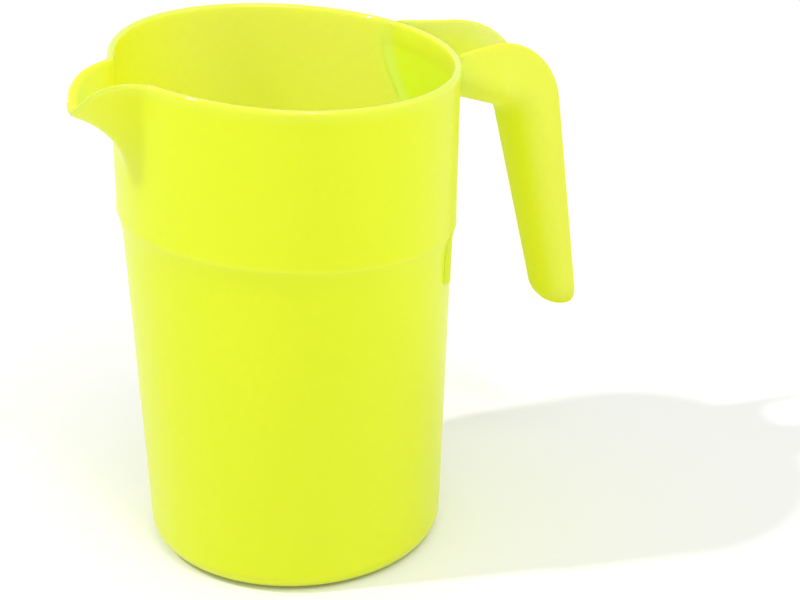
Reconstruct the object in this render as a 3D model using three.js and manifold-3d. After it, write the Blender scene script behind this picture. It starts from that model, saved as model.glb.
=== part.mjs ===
// A stackable plastic pitcher: a round tapered body with a sloping rim and ledge, a pouring spout
// that droops to its tip, and a hook handle that is an open channel with a free lower end.
// Millimetres, +Z up. The origin is the middle of the underside, on the body's axis. The spout
// points along -X, the handle along +X, and the XZ plane is the plane of symmetry.

import * as THREE from 'three';
import { mergeVertices } from 'three/addons/utils/BufferGeometryUtils.js';
import Module from 'manifold-3d';

const wasm = await Module();
wasm.setup();

// Body: heights are on the axis, and radii and tapers are of the outer face.
const JUG_HEIGHT = 184;
const RIM_RADIUS = 61.2;
const RIM_SLOPE_DEGREES = 4.6;
const LIP_HEIGHT = 3.6;
const LIP_PROUD = 0.4;
const LIP_BEVEL = 0.8;
const UPPER_WALL_HEIGHT = 57.7;
const UPPER_WALL_TAPER = 1.6;
const LEDGE_DROP = 7;
const LEDGE_STEP = 1.6;
const LOWER_WALL_TAPER = 4.7;
const HEEL_ROUNDING = 8.2;
const WALL = 2.2;
const FLOOR = 2.6;

// Spout: angles are measured round the axis from the spout's middle, and its depth is below the rim.
const SPOUT_REACH = 19.3;
const SPOUT_HALF_ANGLE = 24;
const SPOUT_SPREAD_ANGLE = 9.9;
const SPOUT_FLATNESS = 2.65;
const SPOUT_DROOP = 12.5;
const SPOUT_DROOP_ANGLE = 5.9;
const SPOUT_DEPTH = 41.8;
const SPOUT_CURVE = 3;
const SHOULDER_PINCH = 2;
const SHOULDER_ANGLE = 32.6;
const SHOULDER_SPREAD_ANGLE = 28.8;

// Handle: the lines of its two edges meet in a corner that stands off the rim in the rim's plane,
// and the lines of its underside meet in a corner that stands off the rim below that plane.
const HANDLE_STANDOFF = 41;
const ELBOW_RADIUS = 30.6;
const GRIP_EDGE_LEAN_DEGREES = 7.7;
const ARCH_STANDOFF = 26.3;
const ARCH_DEPTH = 28.8;
const ARCH_FALL_DEGREES = 22.2;
const ARCH_RADIUS = 8.6;
const GRIP_FACE_LEAN_DEGREES = 12.2;
const GRIP_DROP = 75;
const TIP_LENGTH = 11.3;
const TIP_TURN_DEGREES = 83;
const ROOT_HALF_WIDTH = 21.3;
const ROOT_FLARE_LENGTH = 33;
const ELBOW_HALF_WIDTH = 14.6;
const TIP_HALF_WIDTH = 10.6;
const CHANNEL_ROUNDNESS = 0.9;
const CHANNEL_BOTTOM_SHARE = 0.8;
const HANDLE_WALL = 2.2;

// Ribs under the ledge, one on each side of the handle.
const RIB_ANGLE = 46;
const RIB_WIDTH = 2;
const RIB_PROUD = 1.8;
const RIB_HEIGHT = 12.4;

// Clearance between a piece and the round wall that it stands on, and how far a cut runs past a face.
const SEAT_GAP = 0.3;
const CUT_MARGIN = 15;

// Facets of the round forms.
const SPOUT_COLUMNS = 20;
const WALL_COLUMNS = 60;
const HEEL_ROWS = 4;
const LOWER_WALL_ROWS = 2;
const SPOUT_ROWS = 6;
const SECTION_FACETS = 10;
const BRIDGE_STATIONS = 6;
const ELBOW_STATIONS = 8;
const GRIP_STATIONS = 5;
const TIP_STATIONS = 6;

const { degToRad, radToDeg, lerp, clamp, euclideanModulo } = THREE.MathUtils;
const HALF_TURN = Math.PI;
const QUARTER_TURN = Math.PI / 2;

// Heights on the axis where one region of the moulding ends and the next begins.
const rimSlope = Math.tan(degToRad(RIM_SLOPE_DEGREES));
const lipBottom = JUG_HEIGHT - LIP_HEIGHT;
const spoutBottom = JUG_HEIGHT - SPOUT_DEPTH;
const ledgeTop = JUG_HEIGHT - UPPER_WALL_HEIGHT;
const ledgeBottom = ledgeTop - LEDGE_DROP;

// Outer radii of the body from the ledge down, and of the flat underside.
const ledgeRadius = RIM_RADIUS - UPPER_WALL_TAPER;
const neckRadius = ledgeRadius - LEDGE_STEP;
const heelRadius = neckRadius - LOWER_WALL_TAPER;
const floorRadius = heelRadius - HEEL_ROUNDING;

// Share of the way from one value to another, held between 0 and 1.
function shareBetween(from, to, value) {
  return clamp((value - from) / (to - from), 0, 1);
}

// Outer radius of the plain body at a height on the axis, above the heel.
function wallRadius(height) {
  if (height <= ledgeBottom) {
    return lerp(heelRadius, neckRadius, shareBetween(HEEL_ROUNDING, ledgeBottom, height));
  }
  if (height <= ledgeTop) {
    return lerp(neckRadius, ledgeRadius, shareBetween(ledgeBottom, ledgeTop, height));
  }
  return lerp(ledgeRadius, RIM_RADIUS, shareBetween(ledgeTop, JUG_HEIGHT, height));
}

// Fall of a level along +X: none at the heel, and the rim's own slope from the ledge upwards.
function levelSlope(height) {
  return rimSlope * shareBetween(HEEL_ROUNDING, ledgeBottom, height);
}

// A hump of height 1 that dies away on both sides. A larger power gives it a flatter top.
function hump(offset, power) {
  return Math.exp(-(Math.abs(offset) ** power));
}

// How far the spout moves the rim out at an angle from its middle.
function spoutPull(degrees) {
  return SPOUT_REACH * hump(degrees / SPOUT_SPREAD_ANGLE, SPOUT_FLATNESS);
}

// How far the rim beside the spout is drawn in.
function shoulderPinch(degrees) {
  return SHOULDER_PINCH * hump((Math.abs(degrees) - SHOULDER_ANGLE) / SHOULDER_SPREAD_ANGLE, 2);
}

function spoutDroop(degrees) {
  return SPOUT_DROOP * hump(degrees / SPOUT_DROOP_ANGLE, 2);
}

function angleFromSpout(theta) {
  return radToDeg(euclideanModulo(theta, 2 * HALF_TURN) - HALF_TURN);
}

function roundPoint(theta, radius, z) {
  return new THREE.Vector3(radius * Math.cos(theta), radius * Math.sin(theta), z);
}

// A point on the level that crosses the axis at a height.
function levelPoint(theta, radius, height) {
  const point = roundPoint(theta, radius, height);
  point.z -= levelSlope(height) * point.x;
  return point;
}

// A point of the body's wall, a distance inwards from its outer face, with the spout's pull on it.
// The pull grows with a power of the height above the spout's foot. The pinch beside the spout
// grows evenly from the ledge to the rim.
function wallPoint(theta, height, inwards) {
  const rise = shareBetween(spoutBottom, JUG_HEIGHT, height);
  const angle = angleFromSpout(theta);
  const pull = spoutPull(angle);
  const pinch = shoulderPinch(angle) * shareBetween(ledgeTop, JUG_HEIGHT, height);
  const droop = spoutDroop(angle);
  const tilt = Math.atan2(SPOUT_CURVE * pull * rise ** (SPOUT_CURVE - 1), SPOUT_DEPTH - droop);
  const radius = wallRadius(height) + pull * rise ** SPOUT_CURVE - pinch - inwards * Math.cos(tilt);
  const point = levelPoint(theta, radius, height);
  point.z += inwards * Math.sin(tilt) - droop * rise;
  return point;
}

// Evenly spaced values, from the first to the last.
function spaced(from, to, steps) {
  return Array.from({ length: steps + 1 }, (_, i) => lerp(from, to, i / steps));
}

// Angles of the wall's columns: narrow ones across the spout, then wide ones round the rest.
const spoutStart = HALF_TURN - degToRad(SPOUT_HALF_ANGLE);
const spoutEnd = HALF_TURN + degToRad(SPOUT_HALF_ANGLE);
const columns = [
  ...spaced(spoutStart, spoutEnd, SPOUT_COLUMNS).slice(0, -1),
  ...spaced(spoutEnd, spoutStart + 2 * HALF_TURN, WALL_COLUMNS).slice(0, -1),
];

// A closed geometry from points and flat convex faces. Points that no face uses are dropped.
function geometryOf(points, faces) {
  const fans = faces.flatMap((face) => face.slice(2).flatMap((_, i) => [face[0], face[i + 1], face[i + 2]]));
  const loose = new THREE.BufferGeometry().setFromPoints(fans.map((corner) => points[corner]));
  const geometry = mergeVertices(loose);
  geometry.computeVertexNormals();
  return geometry;
}

// A shell between an outer and an inner skin. Each row gives the pair of points at an angle, and
// holds(column, row) says whether the cell above and beside a corner is part of the shell.
function shell(rows, holds) {
  const around = columns.length;
  const skin = (side) => rows.flatMap((row) => columns.map((theta) => row(theta)[side]));
  const points = [...skin(0), ...skin(1)];
  const outer = (i, j) => j * around + (i % around);
  const inner = (i, j) => rows.length * around + outer(i, j);
  const filled = (i, j) => j >= 0 && j < rows.length - 1 && holds((i + around) % around, j);
  const faces = [];
  const addCell = (i, j) => {
    faces.push([outer(i, j), outer(i + 1, j), outer(i + 1, j + 1), outer(i, j + 1)]);
    faces.push([inner(i, j), inner(i, j + 1), inner(i + 1, j + 1), inner(i + 1, j)]);
    const sides = [
      [i, j - 1, [outer(i, j), inner(i, j), inner(i + 1, j), outer(i + 1, j)]],
      [i, j + 1, [outer(i, j + 1), outer(i + 1, j + 1), inner(i + 1, j + 1), inner(i, j + 1)]],
      [i - 1, j, [outer(i, j), outer(i, j + 1), inner(i, j + 1), inner(i, j)]],
      [i + 1, j, [outer(i + 1, j), inner(i + 1, j), inner(i + 1, j + 1), outer(i + 1, j + 1)]],
    ];
    const open = sides.filter(([column, row]) => !filled(column, row));
    faces.push(...open.map(([, , face]) => face));
  };
  for (let j = 0; j < rows.length - 1; j += 1) {
    for (let i = 0; i < around; i += 1) {
      if (filled(i, j)) {
        addCell(i, j);
      }
    }
  }
  return geometryOf(points, faces);
}

// A closed solid through rings of points, with a flat cap at each end.
function loft(rings) {
  const around = rings[0].length;
  const ring = (j) => rings[j].map((_, i) => j * around + i);
  const faces = [ring(0).reverse(), ring(rings.length - 1)];
  for (let j = 0; j < rings.length - 1; j += 1) {
    for (let i = 0; i < around; i += 1) {
      const next = (i + 1) % around;
      faces.push([ring(j)[i], ring(j)[next], ring(j + 1)[next], ring(j + 1)[i]]);
    }
  }
  return geometryOf(rings.flat(), faces);
}

// Joins and cuts.
function toSolid(geometry) {
  const bare = geometry.clone();
  bare.deleteAttribute('normal');
  bare.deleteAttribute('uv');
  const merged = mergeVertices(bare);
  const vertProperties = new Float32Array(merged.attributes.position.array);
  const triVerts = new Uint32Array(merged.index.array);
  return new wasm.Manifold(new wasm.Mesh({ numProp: 3, vertProperties, triVerts }));
}

function toGeometry(solid) {
  const mesh = solid.getMesh();
  const geometry = new THREE.BufferGeometry();
  geometry.setAttribute('position', new THREE.BufferAttribute(mesh.vertProperties, mesh.numProp));
  geometry.setIndex(new THREE.BufferAttribute(mesh.triVerts, 1));
  geometry.computeVertexNormals();
  return geometry;
}

// Body regions.
const everywhere = () => true;
const inSpout = (column) => column < SPOUT_COLUMNS;

function wallRow(height) {
  return (theta) => [wallPoint(theta, height, 0), wallPoint(theta, height, WALL)];
}

function lipRow(height) {
  return (theta) => [wallPoint(theta, height, -LIP_PROUD), wallPoint(theta, height, WALL)];
}

const lipRows = [lipRow(lipBottom + LIP_BEVEL), lipRow(JUG_HEIGHT)];
const spoutRows = spaced(spoutBottom, lipBottom, SPOUT_ROWS).map(wallRow);

function baseFloor() {
  const ring = (z) => columns.map((theta) => roundPoint(theta, floorRadius, z));
  return loft([ring(0), ring(FLOOR)]);
}

// The heel turns the floor up into the wall, round a quarter of a circle.
function heelRing() {
  const corner = (theta, turn, wall, floor) => {
    const radius = floorRadius + (HEEL_ROUNDING - wall) * Math.sin(turn);
    return roundPoint(theta, radius, HEEL_ROUNDING - (HEEL_ROUNDING - floor) * Math.cos(turn));
  };
  const turns = spaced(0, QUARTER_TURN, HEEL_ROWS);
  const rows = turns.map((turn) => (theta) => [corner(theta, turn, 0, 0), corner(theta, turn, WALL, FLOOR)]);
  return shell(rows, everywhere);
}

function lowerWall() {
  return shell(spaced(HEEL_ROUNDING, ledgeBottom, LOWER_WALL_ROWS).map(wallRow), everywhere);
}

function stackingLedge() {
  return shell([wallRow(ledgeBottom), wallRow(ledgeTop)], everywhere);
}

// The upper wall is whole below the spout's foot, and stops at the spout's sides above it.
function upperWall() {
  return shell([wallRow(ledgeTop), ...spoutRows], (column, row) => row === 0 || !inSpout(column));
}

function rimLip() {
  return shell([wallRow(lipBottom), ...lipRows], (column) => !inSpout(column));
}

function pourSpout() {
  return shell([...spoutRows, ...lipRows], inSpout);
}

// The plain body with its seat clearance, cut from whatever stands on its outer face.
function bodyBlock() {
  const ring = (height, proud) => {
    return columns.map((theta) => levelPoint(theta, wallRadius(height) + SEAT_GAP + proud, height));
  };
  const rim = ring(JUG_HEIGHT, LIP_PROUD);
  const rings = [
    ring(HEEL_ROUNDING, 0),
    ring(ledgeBottom, 0),
    ring(ledgeTop, 0),
    ring(lipBottom - SEAT_GAP, 0),
    ring(lipBottom - SEAT_GAP + LIP_BEVEL, LIP_PROUD),
    rim,
    rim.map((point) => point.clone().setZ(JUG_HEIGHT + CUT_MARGIN)),
  ];
  return toSolid(loft(rings));
}

// Handle: its lines lie in the XZ plane, as points whose y is the height.
function wayDown(degrees) {
  return new THREE.Vector2(Math.cos(degToRad(degrees)), -Math.sin(degToRad(degrees)));
}

function along(start, way, length) {
  return start.clone().addScaledVector(way, length);
}

function rimPlanePoint(x) {
  return new THREE.Vector2(x, JUG_HEIGHT - rimSlope * x);
}

// An arc that rounds the corner between the way in and the way out.
function roundedCorner(corner, wayIn, wayOut, radius) {
  const turn = wayIn.angle() - wayOut.angle();
  const inwards = new THREE.Vector2(wayIn.y, -wayIn.x);
  const centre = along(along(corner, wayIn, -radius * Math.tan(turn / 2)), inwards, radius);
  const at = (share) => {
    const angle = wayIn.angle() + QUARTER_TURN - turn * share;
    return along(centre, new THREE.Vector2(Math.cos(angle), Math.sin(angle)), radius);
  };
  return { at, start: at(0), end: at(1) };
}

const RIGHT_ANGLE_DEGREES = 90;
const bridgeWay = wayDown(RIM_SLOPE_DEGREES);
const archWay = wayDown(ARCH_FALL_DEGREES);
const gripEdgeWay = wayDown(RIGHT_ANGLE_DEGREES - GRIP_EDGE_LEAN_DEGREES);
const gripFaceWay = wayDown(RIGHT_ANGLE_DEGREES - GRIP_FACE_LEAN_DEGREES);
const edgeCorner = rimPlanePoint(RIM_RADIUS + HANDLE_STANDOFF);
const archCorner = rimPlanePoint(RIM_RADIUS + ARCH_STANDOFF);
archCorner.y -= ARCH_DEPTH;
const edgeArc = roundedCorner(edgeCorner, bridgeWay, gripEdgeWay, ELBOW_RADIUS);
const archArc = roundedCorner(archCorner, archWay, gripFaceWay, ARCH_RADIUS);

// The root starts inside the body's wall, to be cut back to its seat, and the grip ends at the tip.
const rootX = RIM_RADIUS - ELBOW_HALF_WIDTH;
const rootEdge = rimPlanePoint(rootX);
const rootFace = along(archArc.start, archWay, (rootX - archArc.start.x) / archWay.x);
const tipTop = archCorner.y - GRIP_DROP;
const gripEdgeEnd = along(edgeArc.end, gripEdgeWay, (tipTop - edgeArc.end.y) / gripEdgeWay.y);
const gripFaceEnd = along(archArc.end, gripFaceWay, (tipTop - archArc.end.y) / gripFaceWay.y);

// Half the handle's width at its edges: flared at the root, and tapering from the elbow to the tip.
function halfWidth(edge) {
  const taper = edge.x > edgeArc.start.x ? shareBetween(edgeArc.start.y, gripEdgeEnd.y, edge.y) : 0;
  const flare = Math.max(0, 1 - (edge.x - RIM_RADIUS) / ROOT_FLARE_LENGTH) ** 2;
  return lerp(ELBOW_HALF_WIDTH, TIP_HALF_WIDTH, taper) + (ROOT_HALF_WIDTH - ELBOW_HALF_WIDTH) * flare;
}

// Stations along the handle, each a pair of points: one of the underside and one of the edges.
function handleStations() {
  const stations = [];
  const add = (face, edge) => stations.push({ face, edge, half: halfWidth(edge) });
  for (let i = 0; i < BRIDGE_STATIONS; i += 1) {
    const share = i / BRIDGE_STATIONS;
    add(rootFace.clone().lerp(archArc.start, share), rootEdge.clone().lerp(edgeArc.start, share));
  }
  for (let i = 0; i <= ELBOW_STATIONS; i += 1) {
    add(archArc.at(i / ELBOW_STATIONS), edgeArc.at(i / ELBOW_STATIONS));
  }
  for (let i = 1; i <= GRIP_STATIONS; i += 1) {
    const share = i / GRIP_STATIONS;
    add(archArc.end.clone().lerp(gripFaceEnd, share), edgeArc.end.clone().lerp(gripEdgeEnd, share));
  }
  return stations;
}

// The tip closes the channel like the bowl of a spoon: its face and sides curve in to the edges.
// The thickness is what the section then takes off, so that the wall is even round the bowl.
function tipStations(thickness) {
  const depthWay = gripEdgeEnd.clone().sub(gripFaceEnd);
  const depth = depthWay.length();
  depthWay.normalize();
  const turns = spaced(0, degToRad(TIP_TURN_DEGREES), TIP_STATIONS).slice(1);
  return turns.map((turn) => {
    const drawnIn = (size) => thickness + (size - thickness) * Math.cos(turn);
    const edge = along(gripEdgeEnd, gripEdgeWay, (TIP_LENGTH - thickness) * Math.sin(turn));
    return { face: along(edge, depthWay, -drawnIn(depth)), edge, half: drawnIn(TIP_HALF_WIDTH) };
  });
}

// A section across the handle: straight sides down from the edges, and a rounded bottom.
// The thickness takes the section in from its outer face, and the margin carries it past the edges.
function section({ face, edge, half }, thickness, margin) {
  const depthWay = edge.clone().sub(face);
  const depth = depthWay.length() - thickness;
  depthWay.normalize();
  const width = half - thickness;
  const round = Math.min(CHANNEL_ROUNDNESS * width, CHANNEL_BOTTOM_SHARE * depth);
  const at = (y, rise) => {
    const flat = along(face, depthWay, thickness + rise);
    return new THREE.Vector3(flat.x, y, flat.y);
  };
  const turns = spaced(0, HALF_TURN, SECTION_FACETS);
  const bottom = turns.map((turn) => at(-width * Math.cos(turn), round * (1 - Math.sin(turn))));
  return [at(-width, depth + margin), ...bottom, at(width, depth + margin)];
}

function handleLoft(thickness, margin) {
  const stations = [...handleStations(), ...tipStations(thickness)];
  return toSolid(loft(stations.map((station) => section(station, thickness, margin))));
}

const handle = handleLoft(0, 0).subtract(handleLoft(HANDLE_WALL, CUT_MARGIN)).subtract(bodyBlock());

// The handle's regions meet on flat cuts, where its elbow begins and ends and where its tip begins.
const beyond = JUG_HEIGHT + RIM_RADIUS + HANDLE_STANDOFF;
const elbowX = edgeArc.start.x;
const gripTop = archArc.end.y;

function handleRegion(lowX, highX, lowZ, highZ) {
  const geometry = new THREE.BoxGeometry(highX - lowX, beyond, highZ - lowZ);
  geometry.translate((lowX + highX) / 2, 0, (lowZ + highZ) / 2);
  return toGeometry(handle.intersect(toSolid(geometry)));
}

// A rib stands evenly proud of the lower wall, with its top against the ledge's lower edge.
function stackingRib(side) {
  const theta = side * degToRad(RIB_ANGLE);
  const top = levelPoint(theta, neckRadius, ledgeBottom).z - SEAT_GAP;
  const ring = (drop) => {
    const reach = wallRadius(ledgeBottom - drop) + RIB_PROUD;
    const corners = [[0, -1], [reach, -1], [reach, 1], [0, 1]];
    return corners.map(([x, y]) => new THREE.Vector3(x, (y * RIB_WIDTH) / 2, top - drop));
  };
  const geometry = loft([ring(RIB_HEIGHT), ring(0)]);
  geometry.rotateZ(theta);
  return toGeometry(toSolid(geometry).subtract(bodyBlock()));
}

// The finished part, in one translucent yellow-green plastic.
const pieces = {
  base_floor: baseFloor(),
  heel_ring: heelRing(),
  lower_wall: lowerWall(),
  stacking_ledge: stackingLedge(),
  upper_wall: upperWall(),
  rim_lip: rimLip(),
  pour_spout: pourSpout(),
  handle_bridge: handleRegion(-beyond, elbowX, -beyond, beyond),
  handle_elbow: handleRegion(elbowX, beyond, gripTop, beyond),
  handle_grip: handleRegion(elbowX, beyond, tipTop, gripTop),
  handle_tip: handleRegion(elbowX, beyond, -beyond, tipTop),
  stacking_rib_left: stackingRib(-1),
  stacking_rib_right: stackingRib(1),
};

const pitcher = new THREE.Group();
pitcher.name = 'plastic_pitcher';
for (const [name, geometry] of Object.entries(pieces)) {
  const plastic = new THREE.MeshStandardMaterial({ color: 0xe6f52e, roughness: 0.35, metalness: 0 });
  const mesh = new THREE.Mesh(geometry, plastic);
  mesh.name = name;
  pitcher.add(mesh);
}

export default pitcher;
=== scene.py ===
"""A stackable pitcher in translucent yellow-green plastic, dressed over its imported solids.

Sizes are millimetres in the frame of the solids: the origin is the middle of the underside,
Z is up, the spout points along -X and the handle along +X.
"""

import logging
import math
from dataclasses import dataclass, field, replace
from enum import Enum
from functools import partial
from typing import Callable, Sequence

import bmesh
import bpy
from mathutils import Matrix, Vector


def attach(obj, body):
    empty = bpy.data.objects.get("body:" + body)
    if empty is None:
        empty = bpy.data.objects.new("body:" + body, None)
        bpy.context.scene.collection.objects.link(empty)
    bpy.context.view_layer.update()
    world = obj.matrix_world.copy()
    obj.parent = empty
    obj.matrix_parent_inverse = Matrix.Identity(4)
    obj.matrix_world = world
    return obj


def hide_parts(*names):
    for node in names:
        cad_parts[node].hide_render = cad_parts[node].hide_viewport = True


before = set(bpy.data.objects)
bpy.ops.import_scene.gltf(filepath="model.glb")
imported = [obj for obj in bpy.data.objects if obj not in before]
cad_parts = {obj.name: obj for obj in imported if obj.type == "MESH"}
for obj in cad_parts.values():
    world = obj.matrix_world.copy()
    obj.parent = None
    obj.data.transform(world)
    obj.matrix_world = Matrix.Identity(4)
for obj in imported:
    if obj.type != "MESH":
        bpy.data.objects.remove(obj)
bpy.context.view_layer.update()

LOG = logging.getLogger("plastic_pitcher")
MM = 0.001
WELD_DISTANCE = 0.00002
QUARTER_TURN = math.pi / 2
LEVEL_ROUNDS = 4
# Names of the values kept at the points: painted light through the plastic, painted glow, light
# spread, and gloss whose sheen part is painted.
LIGHT_THROUGH = "light_through"
GLOW = "glow"
SPREAD = "spread"
POLISH_AND_SHEEN = "polish_and_sheen"
SATIN_POLISH = 0.5

Row = list[int]
Colour = tuple[float, float, float]
Place = tuple[float, float, float]
Socket = bpy.types.NodeSocket


class Skin(Enum):
    """The two faces of the plastic's wall."""

    OUTER = 0
    INNER = 1


class Side(Enum):
    """The side of the handle that a rib stands on, as the sign of its place along Y."""

    LEFT = -1
    RIGHT = 1


def blend(first: float, second: float, share: float) -> float:
    """The value at a share of the way from one value to another."""
    return first + (second - first) * share


def share_between(low: float, high: float, value: float) -> float:
    """Share of the way from one value to another, held between 0 and 1."""
    return min(1.0, max(0.0, (value - low) / (high - low)))


def smooth_step(low: float, high: float, value: float) -> float:
    """A step from 0 to 1 with soft ends."""
    share = share_between(low, high, value)
    return share * share * (3 - 2 * share)


def spaced(start: float, end: float, steps: int) -> list[float]:
    """Evenly spaced values from the first to the last."""
    return [blend(start, end, i / steps) for i in range(steps + 1)]


def soft_ramp(offset: float, width: float) -> float:
    """A ramp that starts at 0 and bends gently over a width instead of at a corner."""
    return (offset + math.hypot(offset, width)) / 2


def hump(offset: float, power: float = 2.0) -> float:
    """A hump of height 1 that dies away on both sides, with a flatter top for a larger power."""
    return math.exp(-(abs(offset) ** power))


def way_down(degrees: float) -> Vector:
    """Direction in the XZ plane that falls by an angle on its way outwards."""
    return Vector((math.cos(math.radians(degrees)), -math.sin(math.radians(degrees))))


def round_point(theta: float, radius: float, z: float) -> Vector:
    """A point at an angle round the axis."""
    return Vector((radius * math.cos(theta), radius * math.sin(theta), z))


def off_spout(theta: float) -> float:
    """Degrees from the spout's middle to an angle round the axis."""
    return math.degrees(theta % math.tau - math.pi)


def placed(name: str, data: bpy.types.ID) -> bpy.types.Object:
    """Makes an object and links it into the scene.

    Args:
        name: The object's name.
        data: Its mesh, lamp or camera.

    Returns:
        The object.
    """
    made = bpy.data.objects.new(name, data)
    bpy.context.scene.collection.objects.link(made)
    return made


@dataclass(frozen=True)
class SkinPoint:
    """A point of the plastic's face, with the light and shade that are painted into its colour
    there.

    The light through is painted light: it runs from 0, where only yellow light is painted as coming
    from behind, to 1, where it is painted white. The glow is painted brightness, from 0 to 1, and
    it also says how far light spreads in the plastic. The gloss value runs from 0, where the face
    is matt and its reflections are painted darker, over a satin half to 1 and more, where it shines
    with a painted, stronger highlight. The cover is 1 where another piece covers the plastic, so
    that no light can spread, and 0 well away from it.
    """

    place: Vector
    through: float = 0.0
    glow: float = 0.0
    polish_and_sheen: float = SATIN_POLISH
    cover: float = 0.0

    def towards(self, other: "SkinPoint", share: float) -> "SkinPoint":
        """The point at a share of the way to another.

        Args:
            other: The other point.
            share: The share of the way.

        Returns:
            The point between the two.
        """
        return SkinPoint(
            self.place.lerp(other.place, share),
            blend(self.through, other.through, share),
            blend(self.glow, other.glow, share),
            blend(self.polish_and_sheen, other.polish_and_sheen, share),
            blend(self.cover, other.cover, share),
        )


RowMaker = Callable[[float], SkinPoint]


class ClosedSkin:
    """Rows of points and the faces between them, which together close one skin."""

    def __init__(self) -> None:
        """Starts with no points and no faces."""
        self.points: list[SkinPoint] = []
        self.faces: list[tuple[int, ...]] = []

    def add_row(self, points: Sequence[SkinPoint]) -> Row:
        """Adds a row of points.

        Args:
            points: The row's points.

        Returns:
            The numbers of the points.
        """
        first = len(self.points)
        self.points.extend(points)
        return list(range(first, len(self.points)))

    def bridge(self, row: Row, other: Row, closed: bool = True) -> None:
        """Joins two rows of one length with four-sided faces.

        Args:
            row: The first row.
            other: The second row.
            closed: Whether the rows run round and meet themselves.
        """
        count = len(row)
        for i in range(count if closed else count - 1):
            following = (i + 1) % count
            self.faces.append((row[i], row[following], other[following], other[i]))

    def bridge_all(self, rows: Sequence[Row]) -> None:
        """Joins each of the rows, which run round, to the next."""
        for row, other in zip(rows, rows[1:]):
            self.bridge(row, other)

    def cap(self, row: Row, pole: SkinPoint) -> None:
        """Closes a row that runs round with a fan of faces to a pole.

        Args:
            row: The row.
            pole: The point in its middle.
        """
        tip = self.add_row([pole])[0]
        for i, corner in enumerate(row):
            self.faces.append((corner, row[(i + 1) % len(row)], tip))

    def to_object(self, name: str) -> bpy.types.Object:
        """Welds the skin, turns its faces outwards and makes an object of it.

        Args:
            name: The object's name.

        Returns:
            The object, linked into the scene, in metres.
        """
        mesh = bpy.data.meshes.new(name)
        mesh.from_pydata([point.place * MM for point in self.points], [], self.faces)
        # The painted light through, the painted glow, the light spread and the gloss with its
        # painted sheen are kept at the points.
        for layer_name, values in (
            (LIGHT_THROUGH, [point.through for point in self.points]),
            (GLOW, [point.glow for point in self.points]),
            (SPREAD, [point.glow * (1 - point.cover) for point in self.points]),
            (POLISH_AND_SHEEN, [point.polish_and_sheen for point in self.points]),
        ):
            mesh.attributes.new(layer_name, "FLOAT", "POINT").data.foreach_set("value", values)
        work = bmesh.new()
        work.from_mesh(mesh)
        bmesh.ops.remove_doubles(work, verts=work.verts, dist=WELD_DISTANCE)
        bmesh.ops.recalc_face_normals(work, faces=work.faces)
        for face in work.faces:
            face.smooth = True
        work.to_mesh(mesh)
        work.free()
        return placed(name, mesh)


class NodeBoard:
    """The nodes of a material or of the surroundings, with the few kinds that are used here."""

    def __init__(self, owner: bpy.types.Material | bpy.types.World) -> None:
        """Switches the nodes on and keeps them at hand.

        Args:
            owner: The material or the surroundings.
        """
        owner.use_nodes = True
        self.nodes = owner.node_tree.nodes
        self.links = owner.node_tree.links

    def attribute(self, name: str) -> Socket:
        """Reads a value that the mesh keeps at its points.

        Args:
            name: The value's name.

        Returns:
            The value.
        """
        node = self.nodes.new("ShaderNodeAttribute")
        node.attribute_name = name
        return node.outputs["Fac"]

    def noise(self, scale: float, detail: float) -> Socket:
        """Lays a noise over the object.

        Args:
            scale: Number of bumps in a metre.
            detail: Number of finer layers.

        Returns:
            The noise's value.
        """
        place = self.nodes.new("ShaderNodeTexCoord").outputs["Object"]
        node = self.nodes.new("ShaderNodeTexNoise")
        node.inputs["Scale"].default_value = scale
        node.inputs["Detail"].default_value = detail
        self.links.new(place, node.inputs["Vector"])
        return node.outputs["Fac"]

    def ranged(self, value: Socket, low: float | Socket, high: float) -> Socket:
        """Spreads a value from 0 to 1 over another range.

        Args:
            value: The value.
            low: What 0 becomes, or the socket that gives it.
            high: What 1 becomes.

        Returns:
            The spread value.
        """
        node = self.nodes.new("ShaderNodeMapRange")
        if isinstance(low, Socket):
            self.links.new(low, node.inputs["To Min"])
        else:
            node.inputs["To Min"].default_value = low
        node.inputs["To Max"].default_value = high
        self.links.new(value, node.inputs["Value"])
        return node.outputs["Result"]

    def larger(self, first: Socket, second: Socket) -> Socket:
        """Compares two values.

        Args:
            first: The first value.
            second: The second value.

        Returns:
            The larger one.
        """
        node = self.nodes.new("ShaderNodeMath")
        node.operation = "MAXIMUM"
        self.links.new(first, node.inputs[0])
        self.links.new(second, node.inputs[1])
        return node.outputs["Value"]

    def seen_rays(self) -> Socket:
        """Tells the rays that end in the eye from those that only light something.

        Returns:
            1 for rays that come straight, off a gloss or through something clear, 0 for others.
        """
        rays = self.nodes.new("ShaderNodeLightPath").outputs
        straight = self.larger(rays["Is Camera Ray"], rays["Is Glossy Ray"])
        return self.larger(straight, rays["Is Transmission Ray"])

    def combine(self, parts: Sequence[Socket]) -> Socket:
        """Makes a colour.

        Args:
            parts: Its red, green and blue parts.

        Returns:
            The colour.
        """
        node = self.nodes.new("ShaderNodeCombineColor")
        for part, socket in zip(parts, node.inputs):
            self.links.new(part, socket)
        return node.outputs["Color"]

    def mix(self, share: Socket, first: Colour | Socket, second: Colour) -> Socket:
        """Mixes two colours.

        Args:
            share: How much of the second colour shows.
            first: The first colour, or the socket that gives it.
            second: The second colour.

        Returns:
            The mixed colour.
        """
        node = self.nodes.new("ShaderNodeMix")
        node.data_type = "RGBA"
        self.links.new(share, node.inputs["Factor"])
        low, high = [socket for socket in node.inputs if socket.type == "RGBA"]
        if isinstance(first, Socket):
            self.links.new(first, low)
        else:
            low.default_value = (*first, 1.0)
        high.default_value = (*second, 1.0)
        return next(socket for socket in node.outputs if socket.type == "RGBA")


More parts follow.
